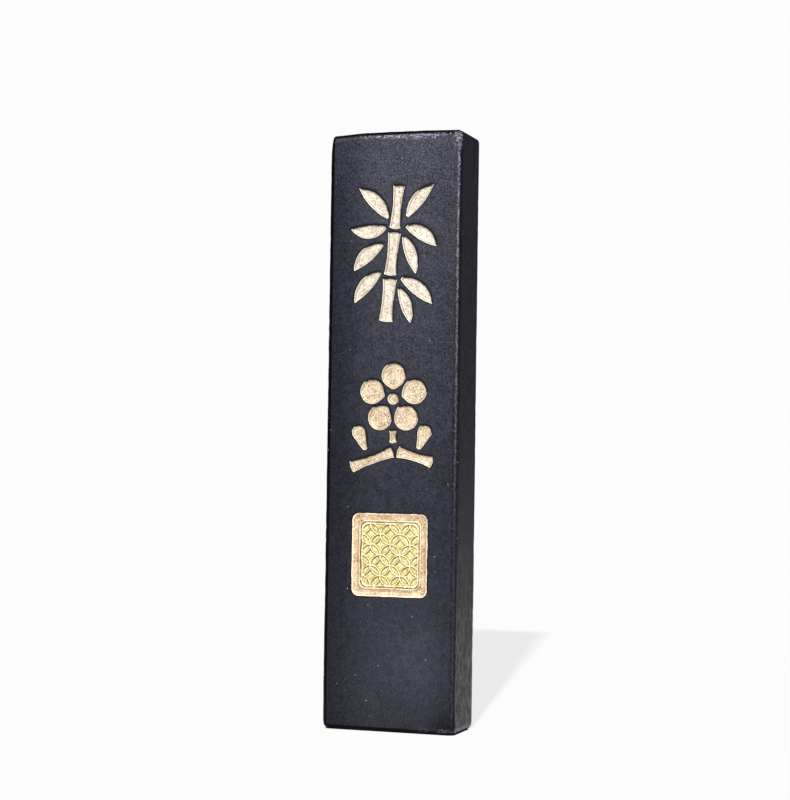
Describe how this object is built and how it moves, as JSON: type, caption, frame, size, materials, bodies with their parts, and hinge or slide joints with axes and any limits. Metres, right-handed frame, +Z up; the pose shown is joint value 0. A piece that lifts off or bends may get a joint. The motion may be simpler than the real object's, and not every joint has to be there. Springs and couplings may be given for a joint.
{
  "type": "ink stick",
  "caption": "Upright rectangular block of pressed soot ink with gilded bamboo, plum blossom and lattice-seal ornaments sunk in its front face.",
  "frame": {"origin": "middle of the foot, the lower end that the stick stands on", "axes": "+Z up along the stick's length; +Y through its thickness from the ornamented front face to the plain back; +X across the front, to the right of someone facing it"},
  "size_m": [0.0278, 0.0126, 0.12],
  "materials": {
    "pressed_ink": "matte",
    "pale_gilt": "matte",
    "tan_gilt": "matte",
    "rose_gilt": "matte",
    "yellow_gilt": "matte"
  },
  "bodies": {
    "root": {"bamboo_leaf_hanging_low": "pale_gilt", "bamboo_leaf_hanging_right": "pale_gilt", "bamboo_leaf_lower_left": "pale_gilt", "bamboo_leaf_lower_right": "pale_gilt", "bamboo_leaf_middle_left": "pale_gilt", "bamboo_leaf_top_left": "pale_gilt", "bamboo_leaf_top_right": "pale_gilt", "bamboo_leaf_upper_left": "pale_gilt", "bamboo_leaf_upper_right": "pale_gilt", "bamboo_stem_lower": "pale_gilt", "bamboo_stem_middle": "pale_gilt", "bamboo_stem_upper": "pale_gilt", "ink_body": "pressed_ink", "plum_bud_left": "tan_gilt", "plum_bud_right": "tan_gilt", "plum_petal_1": "tan_gilt", "plum_petal_2": "tan_gilt", "plum_petal_3": "tan_gilt", "plum_petal_4": "tan_gilt", "plum_petal_5": "tan_gilt", "plum_spur": "tan_gilt", "plum_stamens": "tan_gilt", "plum_twig_left": "tan_gilt", "plum_twig_right": "tan_gilt", "seal_border": "rose_gilt", "seal_field": "yellow_gilt"}
  },
  "joints": []
}
